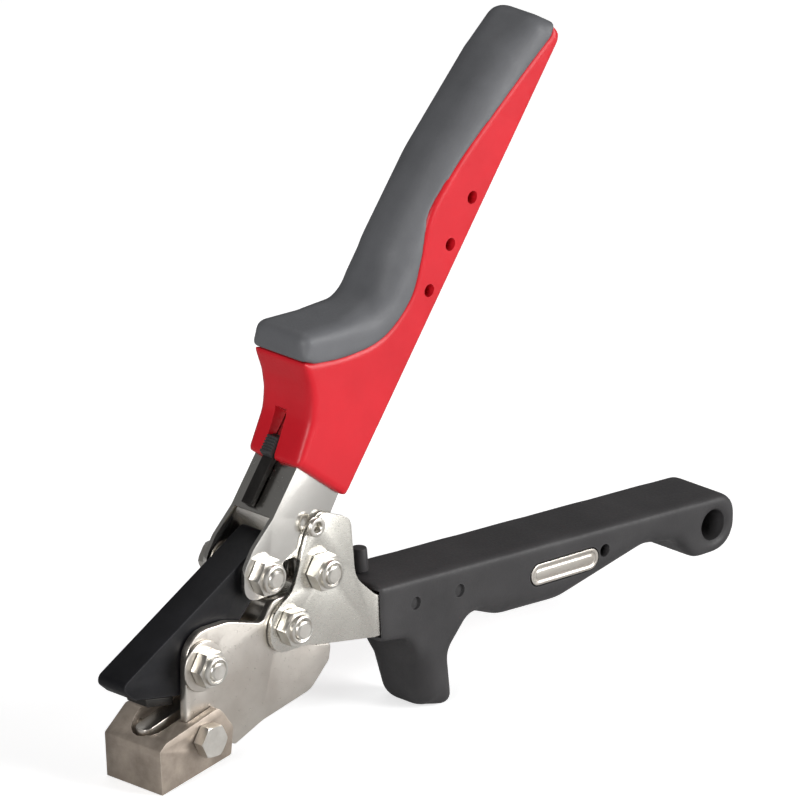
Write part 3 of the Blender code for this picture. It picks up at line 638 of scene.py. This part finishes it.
# ---------------------------------------------------------------------------
# Grip details: a blank embossed plate pressed into each side seat, the two
# spring pins through grip and channel, and the black rubber stop that the
# upper handle closes on.

for side, sign in (("near", -1), ("far", 1)):
    plate = flat_blank(f"side_plate_{side}_embossed", plate_outline(0.0), *sorted((sign * 11.6, sign * 12.75)))
    pick(plate)
    bpy.ops.object.mode_set(mode="EDIT")
    bpy.ops.mesh.select_mode(type="FACE")
    bpy.ops.mesh.select_all(action="DESELECT")
    bpy.ops.object.mode_set(mode="OBJECT")
    for face in plate.data.polygons:
        face.select = face.normal.y * sign > 0.9
    bpy.ops.object.mode_set(mode="EDIT")
    bpy.ops.mesh.inset(thickness=0.9 * MM)
    bpy.ops.mesh.inset(thickness=0.35 * MM, depth=-0.3 * MM)
    bpy.ops.mesh.inset(thickness=0.8 * MM)
    bpy.ops.mesh.inset(thickness=0.3 * MM, depth=0.25 * MM)
    bpy.ops.object.mode_set(mode="OBJECT")
    break_edges(plate, 0.12, 2, 30.0)
    smooth_shade(plate)
    deliver(plate, nickel_plate, "lower_handle", "nickel_plate", f"side_plate_{side}")

PIN_SINK = 0.90     # the pins are this much of their full length, so they end below the grip's sides

for end in ("front", "rear"):
    pin = worked_copy(f"grip_pin_{end}", f"grip_pin_{end}_rolled")
    pin.scale = (1.0, PIN_SINK, 1.0)
    bpy.ops.object.transform_apply(location=False, rotation=False, scale=True)
    break_edges(pin, 0.2, 2, 40.0)
    smooth_shade(pin)
    deliver(pin, black_oxide, "lower_handle", "die_steel", f"grip_pin_{end}")

stop = worked_copy("closing_stop", "closing_stop_rubber")
break_edges(stop, 0.5, 3, 40.0)
smooth_shade(stop)
deliver(stop, black_nylon, "lower_handle", "black_plastic", "closing_stop")


# ---------------------------------------------------------------------------
# Return spring: music wire wound round the toggle pivot's bush, with one leg
# on each channel, and the little eyelet at the ear's top that anchors it.

oiled_wire = surface_finish("oiled_spring_wire", (0.20, 0.19, 0.17), (0.36, 0.34, 0.31), (0.6, 0.58, 0.54),
                            (0.22, 0.34), 1.0, wear=0.3, cloud=200.0, grain=3000.0, bump=0.06)

anchor = worked_copy("spring_anchor", "spring_anchor_eyelet")
break_edges(anchor, 0.4, 3, 40.0)
smooth_shade(anchor)
deliver(anchor, bright_steel, "lower_handle", "bright_steel", "spring_anchor")

UPPER_SLOPE = math.radians(53.4)
UPPER_RUN = Vector((math.cos(UPPER_SLOPE), math.sin(UPPER_SLOPE)))
UPPER_DEPTH = Vector((UPPER_RUN.y, -UPPER_RUN.x))
WEB_FOOT = Vector((53.2, 79.6))
WIRE = 0.75


def on_handle(distance, depth):
    """A side-view place on the upper handle: up it from the web's foot, and in from the web's face."""
    return WEB_FOOT + UPPER_RUN * distance + UPPER_DEPTH * depth


half_width = 4.6
turns = 4.0 + 130.0 / 360.0
route = [spot(*on_handle(9.0, 3.0), -half_width)]
coil_steps = 156
for step in range(coil_steps + 1):
    angle = math.radians(75) - 2 * math.pi * turns * step / coil_steps
    route.append(spot(TOGGLE_PIVOT[0] + 6.4 * math.cos(angle), TOGGLE_PIVOT[1] + 6.4 * math.sin(angle),
                      -half_width + 2 * half_width * step / coil_steps))
route.append(spot(87.5, 32.4, half_width))
bpy.ops.object.select_all(action="DESELECT")
bpy.ops.curve.primitive_nurbs_path_add(location=(0, 0, 0))
spring = bpy.context.object
spring.name = "return_spring_wound"
spring.data.splines.clear()
spline = spring.data.splines.new("POLY")
spline.points.add(len(route) - 1)
for point, place in zip(spline.points, route):
    point.co = (*place, 1.0)
spring.data.bevel_depth = WIRE * MM
spring.data.bevel_resolution = 3
spring.data.use_fill_caps = True
pick(spring)
bpy.ops.object.convert(target="MESH")
tidy_shell(spring)
smooth_shade(spring, 50.0)
deliver(spring, oiled_wire, "lower_handle", "spring_steel", "return_spring")


# ---------------------------------------------------------------------------
# Upper handle's channel: bright polished sheet steel folded to a U with its
# web to the front. Its legs carry the link bolt and the toggle bolt, and a
# window near the web's foot lets the latch's hook through.

polished_channel = surface_finish("polished_channel", (0.66, 0.64, 0.60), (0.82, 0.80, 0.76), (0.94, 0.93, 0.90),
                                  (0.14, 0.28), 1.0, wear=0.5, cloud=35.0, grain=600.0, stretch=(10.0, 10.0, 1.0),
                                  turn=(0.0, math.radians(-36.6), 0.0), bump=0.10)


def on_upper_fold(start, end):
    """Whether an edge runs along the web's outer corner."""
    outside = min(abs(start.y), abs(end.y)) > 9.4 * MM
    foot = spot(*WEB_FOOT)
    depth = (spot(*(WEB_FOOT + UPPER_DEPTH)) - foot).normalized()
    on_web = max(abs((start - foot).dot(depth)), abs((end - foot).dot(depth))) < 0.1 * MM
    return outside and on_web and (end - start).length > 3.0 * MM


upper_channel = worked_copy("upper_channel", "upper_channel_folded")
fold_edges(upper_channel, on_upper_fold, 2.3, 5)
break_edges(upper_channel, 0.25, 2, 35.0)
smooth_shade(upper_channel)
deliver(upper_channel, polished_channel, "upper_handle", "bright_steel", "upper_channel")


# ---------------------------------------------------------------------------
# Upper handle's body: a red nylon moulding over the channel, with a straight
# inner edge, a waist below the guard, and a slot down its front for the
# latch.

red_nylon = surface_finish("red_nylon", (0.50, 0.006, 0.014), (0.60, 0.010, 0.020), (0.72, 0.05, 0.06),
                           (0.34, 0.46), 0.0, wear=0.25, wear_width=0.0010, cloud=30.0, grain=1000.0, bump=0.25,
                           depth=0.00008, specular=0.35)

RED_HALF = 12.0
GREY_HALF = 12.4
PARTING_LINE = [(60.0, 130.2), (83.0, 127.6), (100.5, 129.4), (113.0, 139.0), (118.0, 151.0), (122.0, 164.5),
                (130.0, 174.5), (140.0, 184.0), (163.0, 202.3), (179.5, 214.4), (187.0, 219.4)]


def parting(offset, low, high, edge):
    """The line where grey meets red on the handle's side, moved towards the grey, as a smooth run of points."""
    line = [Vector(place) for place in PARTING_LINE]
    smooth = []
    for index in range(len(line) - 1):
        a, b, c, d = (line[max(0, min(len(line) - 1, index + shift))] for shift in (-1, 0, 1, 2))
        for step in range(6):
            t = step / 6
            smooth.append(0.5 * (2 * b + (c - a) * t + (2 * a - 5 * b + 4 * c - d) * t * t
                                 + (3 * b - a - 3 * c + d) * t * t * t))
    moved = []
    for index, place in enumerate(smooth):
        run = (smooth[min(index + 1, len(smooth) - 1)] - smooth[max(index - 1, 0)]).normalized()
        shifted = place + Vector((-run.y, run.x)) * offset
        if low < shifted.x < high:
            moved.append((*shifted, edge))
    return moved


def latch_room(low, high, front, back):
    return [on_handle(low, front), on_handle(high, front), on_handle(high, back), on_handle(low, back)]


LATCH_NEAR = -0.6
LATCH_FAR = 4.6
RED_HOLES = ((141.2, 167.1), (131.2, 153.6), (121.6, 140.3))

red_foot = drawn_outline([(62.2, 95.6, 1.0, 2.2), (84.2, 79.2, 1.5, 1.4), (182.6, 212.0, 4.0, 1.6),
                          (179.0, 216.2, 0.0, 1.6), (65.2, 130.0, 0.0, 1.2), (68.0, 121.5, 5.0, 2.2),
                          (68.8, 115.0, 8.0, 2.6), (68.0, 108.5, 10.0, 2.8)])
front = next(index for index, place in enumerate(red_foot) if place[1] > 215.0) + 1
body_outline = red_foot[:front] + parting(0.5, 66.6, 178.0, 1.6)[::-1] + red_foot[front:]
upper_body = moulding("upper_body_moulding", body_outline, RED_HALF)
carve(upper_body,
      flat_blank("channel_room", [on_handle(-20.0, -0.3), on_handle(52.6, -0.3), on_handle(52.6, 21.4),
                                  on_handle(8.0, 24.5), on_handle(-20.0, 24.5)], -9.8, 9.8),
      *[round_bar(place, SMALL_HOLE, low, low + 16.0, 24) for place in RED_HOLES for low in (-20.0, 4.0)])
carve(upper_body, flat_blank("latch_slot", latch_room(-10.0, 34.0, -30.0, 3.0), LATCH_NEAR, LATCH_FAR))
smooth_shade(upper_body, 40.0)
deliver(upper_body, red_nylon, "upper_handle", "red_plastic", "upper_body")


# ---------------------------------------------------------------------------
# Upper grip: a soft grey rubber overmould round the outer side of the red
# body, deep and full in the palm, that flares at its foot to a thumb guard.

grey_rubber = surface_finish("grey_rubber", (0.085, 0.087, 0.093), (0.125, 0.128, 0.136), (0.19, 0.19, 0.20),
                             (0.50, 0.64), 0.0, wear=0.25, wear_width=0.0015, cloud=28.0, grain=1300.0, bump=0.35,
                             depth=0.00010)

grip_outline = drawn_outline([
    (181.0, 216.0, 1.0, 3.0), (173.5, 221.0, 6.0, 6.5), (158.0, 212.0, 12.0, 10.0), (129.0, 183.5, 25.0, 11.0),
    (108.5, 157.0, 25.0, 11.0), (101.0, 141.0, 10.0, 8.0), (84.0, 138.6, 8.0, 4.5), (64.8, 139.6, 4.0, 4.0),
    (65.0, 129.8, 0.6, 1.2),
]) + parting(-0.5, 66.6, 179.0, 1.6)
upper_grip = moulding("upper_grip_overmould", grip_outline, GREY_HALF)
smooth_shade(upper_grip, 60.0)
deliver(upper_grip, grey_rubber, "upper_handle", "grey_rubber", "upper_grip")


# ---------------------------------------------------------------------------
# Latch: a blued steel bar that slides in the red body's front slot. Its hook
# goes through the channel's window, and a ribbed black thumb piece moves it.

latch = worked_copy("latch_bar", "latch_bar_blued")
break_edges(latch, 0.3, 2, 40.0)
smooth_shade(latch)
deliver(latch, black_oxide, "latch", "die_steel", "latch_bar")

rib = worked_copy("latch_thumb_rib", "latch_thumb_piece")
ridge_count = 5
for ridge in range(ridge_count):
    distance = 19.6 + 1.0 * ridge
    carve(rib, flat_blank("ridge", latch_room(distance, distance + 0.45, -8.0, -4.1), -5.0, 9.0))
break_edges(rib, 0.12, 2, 40.0)
smooth_shade(rib)
deliver(rib, black_nylon, "latch", "black_plastic", "latch_thumb_rib")


# ---------------------------------------------------------------------------
# Studio: a plain pale floor, a large soft light from the near side, a weaker
# one from the front and above, and a long lens at the height of a standing
# product picture.

def camera_only(tree, seen, unseen):
    """A value for what the lens sees itself, and another for light and reflections."""
    path = tree.nodes.new("ShaderNodeLightPath")
    level = tree.nodes.new("ShaderNodeMapRange")
    level.inputs["To Min"].default_value = unseen
    level.inputs["To Max"].default_value = seen
    tree.links.new(path.outputs["Is Camera Ray"], level.inputs["Value"])
    return level.outputs["Result"]


floor_white = bpy.data.materials.new("floor_white")
floor_white.use_nodes = True
floor_tree = floor_white.node_tree
floor_shader = floor_tree.nodes["Principled BSDF"]
floor_shader.inputs["Roughness"].default_value = 0.9
floor_shader.inputs["Specular IOR Level"].default_value = 0.1
floor_shader.inputs["Emission Color"].default_value = (1.0, 1.0, 1.0, 1.0)
floor_tree.links.new(camera_only(floor_tree, 0.60, 0.0), floor_shader.inputs["Emission Strength"])
floor_tree.links.new(camera_only(floor_tree, 0.80, 0.62), floor_shader.inputs["Base Color"])
bpy.ops.object.select_all(action="DESELECT")
bpy.ops.mesh.primitive_plane_add(size=60.0, location=(0, 0, -0.0002))
floor = bpy.context.object
floor.name = "studio_floor"
bpy.ops.object.transform_apply(location=True, rotation=True, scale=True)
floor.data.materials.append(floor_white)

world = bpy.data.worlds.new("studio_air")
bpy.context.scene.world = world
world.use_nodes = True
air = world.node_tree.nodes["Background"]
air.inputs["Color"].default_value = (1.0, 1.0, 1.0, 1.0)
world.node_tree.links.new(camera_only(world.node_tree, 1.0, 0.14), air.inputs["Strength"])

LAMP_AIM = Vector((0, 0, 0.08))

for name, place, size, power in (("near_side_light", (0.85, -1.35, 0.60), 1.0, 31.0),
                                 ("front_light", (-1.45, -0.70, 0.55), 0.6, 16.0),
                                 ("top_light", (0.3, 0.6, 1.6), 0.9, 4.0)):
    bpy.ops.object.select_all(action="DESELECT")
    bpy.ops.object.light_add(type="AREA", location=place)
    lamp = bpy.context.object
    lamp.name = name
    lamp.data.shape = "SQUARE"
    lamp.data.size = size
    lamp.data.energy = power
    lamp.visible_camera = False
    lamp.rotation_euler = (LAMP_AIM - Vector(place)).to_track_quat("-Z", "Y").to_euler()

TARGET = spot(120.27, 99.7)
LEVEL_BACK = Vector((-0.6601, -0.6601, 0.3584)).normalized()
DISTANCE = 7.0      # far enough to look almost parallel, near enough for every other view's clipping
LENS = 976.5
stand_turn = Matrix.Rotation(-STAND, 3, "Y")
bpy.ops.object.select_all(action="DESELECT")
bpy.ops.object.camera_add(location=TARGET + stand_turn @ LEVEL_BACK * DISTANCE)
camera = bpy.context.object
camera.rotation_euler = (stand_turn @ LEVEL_BACK.to_track_quat("Z", "Y").to_matrix()).to_euler()
camera.data.lens = LENS
camera.data.sensor_width = 36.0
camera.data.clip_start = 0.5
camera.data.clip_end = 100.0
bpy.context.scene.camera = camera
bpy.context.scene.view_settings.view_transform = "Standard"
